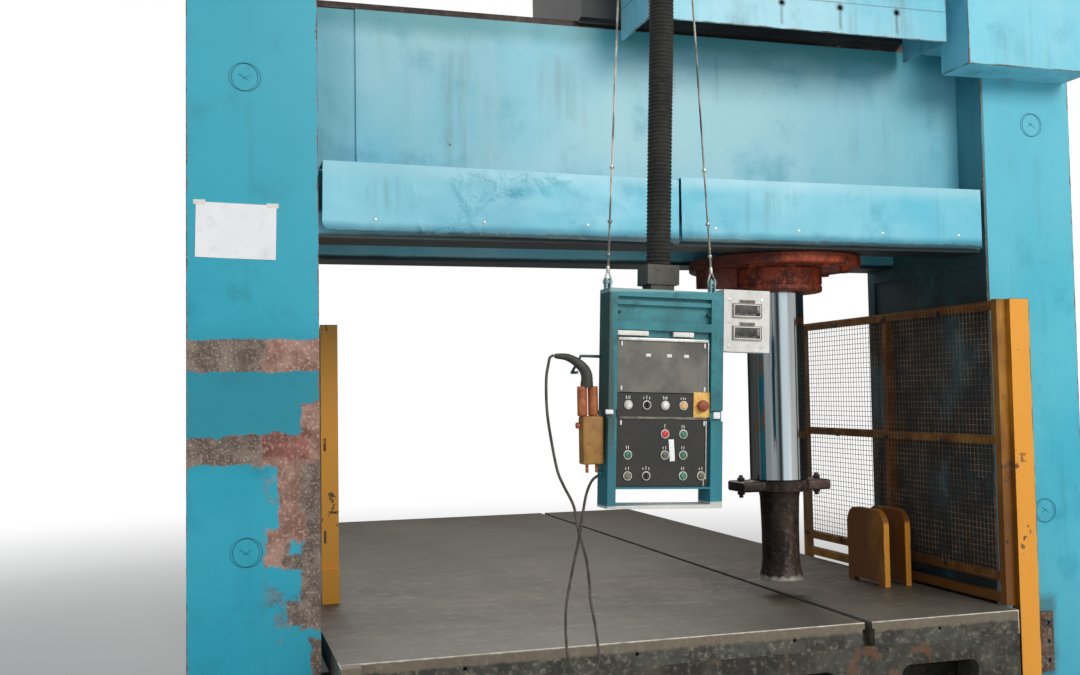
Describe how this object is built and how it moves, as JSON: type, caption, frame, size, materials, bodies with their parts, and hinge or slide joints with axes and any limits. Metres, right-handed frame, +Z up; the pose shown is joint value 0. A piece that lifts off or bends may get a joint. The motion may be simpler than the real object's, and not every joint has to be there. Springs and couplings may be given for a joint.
{
  "type": "hydraulic press",
  "caption": "Gantry-frame hydraulic press with a travelling cylinder head, chrome ram, slotted bed, mesh guards and a hanging control pendant.",
  "frame": {"origin": "on the floor under the lower beam, midway between the columns", "axes": "+Z up, front faces -Y, +X to the right seen from the front, bed runs back along +Y"},
  "size_m": [4.02, 5.5635, 3.99],
  "materials": {
    "teal_paint": "worn satin",
    "pendant_paint": "satin",
    "black_paint": "matt",
    "yellow_paint": "worn satin",
    "bed_steel": "worn, oily",
    "rusty_steel": "rusty",
    "red_primer": "matt",
    "chrome": "polished",
    "dark_steel": "dark, worn",
    "wire_rope": "wire",
    "conduit_rubber": "matt",
    "grey_glass": "satin",
    "pale_plastic": "satin",
    "ochre_plastic": "worn",
    "white_cap": "gloss",
    "amber_cap": "gloss",
    "red_cap": "gloss",
    "green_cap": "gloss",
    "grey_cap": "gloss",
    "black_cap": "gloss"
  },
  "bodies": {
    "frame": {"left_column": "teal_paint", "right_column": "teal_paint", "lower_beam": "teal_paint", "front_girder": "teal_paint", "rear_girder": "teal_paint", "front_rail": "bed_steel", "rear_rail": "bed_steel", "left_cover": "teal_paint", "right_cover": "teal_paint", "rear_cover": "teal_paint", "bed_left": "bed_steel", "bed_right": "bed_steel", "t_slot_girder": "bed_steel", "bed_apron_front": "bed_steel", "bed_apron_rear": "bed_steel", "left_stop": "yellow_paint", "right_stop": "yellow_paint", "right_guard_frame": "yellow_paint", "right_guard_mesh": "rusty_steel", "left_guard_frame": "yellow_paint", "left_guard_mesh": "rusty_steel", "guard_bracket": "rusty_steel", "drive_cabinet": "teal_paint", "boom_post": "teal_paint"},
    "carriage": {"head_frame": "black_paint", "head_housing": "black_paint", "head_cover": "teal_paint", "cylinder_barrel": "dark_steel", "cylinder_flange": "red_primer", "gland_ring": "red_primer", "port_block": "red_primer"},
    "ram": {"piston_rod": "chrome", "clamp_plate": "dark_steel", "punch": "dark_steel"},
    "boom": {"boom_arm": "teal_paint"},
    "pendant": {"pendant_case": "pendant_paint", "display_panel": "grey_glass", "control_panel_upper": "black_paint", "control_panel_lower": "black_paint", "meter_box": "pale_plastic", "conduit_collar": "black_paint", "conduit": "conduit_rubber", "rope_left": "wire_rope", "rope_right": "wire_rope", "handset": "ochre_plastic", "handset_cord": "conduit_rubber"},
    "white_button_left": {"white_button_left": "white_cap"},
    "upper_selector": {"upper_selector": "black_cap"},
    "white_button_right": {"white_button_right": "white_cap"},
    "amber_button": {"amber_button": "amber_cap"},
    "emergency_stop": {"emergency_stop": "red_cap"},
    "red_button": {"red_button": "red_cap"},
    "green_button_upper": {"green_button_upper": "green_cap"},
    "green_button_left": {"green_button_left": "green_cap"},
    "grey_button_middle": {"grey_button_middle": "grey_cap"},
    "green_button_middle": {"green_button_middle": "green_cap"},
    "grey_button_left": {"grey_button_left": "grey_cap"},
    "lower_selector": {"lower_selector": "black_cap"},
    "green_button_lower": {"green_button_lower": "green_cap"},
    "grey_button_right": {"grey_button_right": "grey_cap"}
  },
  "joints": [
    {"name": "carriage_traverse", "type": "slide", "parent": "frame", "child": "carriage", "axis": [1, 0, 0], "range_m": [-1.2, 0.09]},
    {"name": "ram_stroke", "type": "slide", "parent": "carriage", "child": "ram", "axis": [0, 0, 1], "range_m": [-0.06, 0.86]},
    {"name": "boom_swing", "type": "hinge", "parent": "frame", "child": "boom", "pos_m": [-1.77, 0, 3.9], "axis": [0, 0, 1], "range_deg": [-90, 20]},
    {"name": "pendant_swing", "type": "hinge", "parent": "boom", "child": "pendant", "pos_m": [-0.5075, -1.4895, 3.84], "axis": [1, 0, 0], "range_deg": [-6, 6]},
    {"name": "white_button_left_push", "type": "slide", "parent": "pendant", "child": "white_button_left", "axis": [0, 1, 0], "range_m": [0, 0.004], "stiffness_N_per_m": 400, "springref_m": -0.004},
    {"name": "upper_selector_turn", "type": "hinge", "parent": "pendant", "child": "upper_selector", "pos_m": [-0.58841, -1.525, 1.5272], "axis": [0, 1, 0], "range_deg": [-45, 45]},
    {"name": "white_button_right_push", "type": "slide", "parent": "pendant", "child": "white_button_right", "axis": [0, 1, 0], "range_m": [0, 0.004], "stiffness_N_per_m": 400, "springref_m": -0.004},
    {"name": "amber_button_push", "type": "slide", "parent": "pendant", "child": "amber_button", "axis": [0, 1, 0], "range_m": [0, 0.004], "stiffness_N_per_m": 400, "springref_m": -0.004},
    {"name": "emergency_stop_push", "type": "slide", "parent": "pendant", "child": "emergency_stop", "axis": [0, 1, 0], "range_m": [0, 0.004]},
    {"name": "red_button_push", "type": "slide", "parent": "pendant", "child": "red_button", "axis": [0, 1, 0], "range_m": [0, 0.004], "stiffness_N_per_m": 400, "springref_m": -0.004},
    {"name": "green_button_upper_push", "type": "slide", "parent": "pendant", "child": "green_button_upper", "axis": [0, 1, 0], "range_m": [0, 0.004], "stiffness_N_per_m": 400, "springref_m": -0.004},
    {"name": "green_button_left_push", "type": "slide", "parent": "pendant", "child": "green_button_left", "axis": [0, 1, 0], "range_m": [0, 0.004], "stiffness_N_per_m": 400, "springref_m": -0.004},
    {"name": "grey_button_middle_push", "type": "slide", "parent": "pendant", "child": "grey_button_middle", "axis": [0, 1, 0], "range_m": [0, 0.004], "stiffness_N_per_m": 400, "springref_m": -0.004},
    {"name": "green_button_middle_push", "type": "slide", "parent": "pendant", "child": "green_button_middle", "axis": [0, 1, 0], "range_m": [0, 0.004], "stiffness_N_per_m": 400, "springref_m": -0.004},
    {"name": "grey_button_left_push", "type": "slide", "parent": "pendant", "child": "grey_button_left", "axis": [0, 1, 0], "range_m": [0, 0.004], "stiffness_N_per_m": 400, "springref_m": -0.004},
    {"name": "lower_selector_turn", "type": "hinge", "parent": "pendant", "child": "lower_selector", "pos_m": [-0.59628, -1.525, 1.30184], "axis": [0, 1, 0], "range_deg": [-45, 45]},
    {"name": "green_button_lower_push", "type": "slide", "parent": "pendant", "child": "green_button_lower", "axis": [0, 1, 0], "range_m": [0, 0.004], "stiffness_N_per_m": 400, "springref_m": -0.004},
    {"name": "grey_button_right_push", "type": "slide", "parent": "pendant", "child": "grey_button_right", "axis": [0, 1, 0], "range_m": [0, 0.004], "stiffness_N_per_m": 400, "springref_m": -0.004}
  ]
}
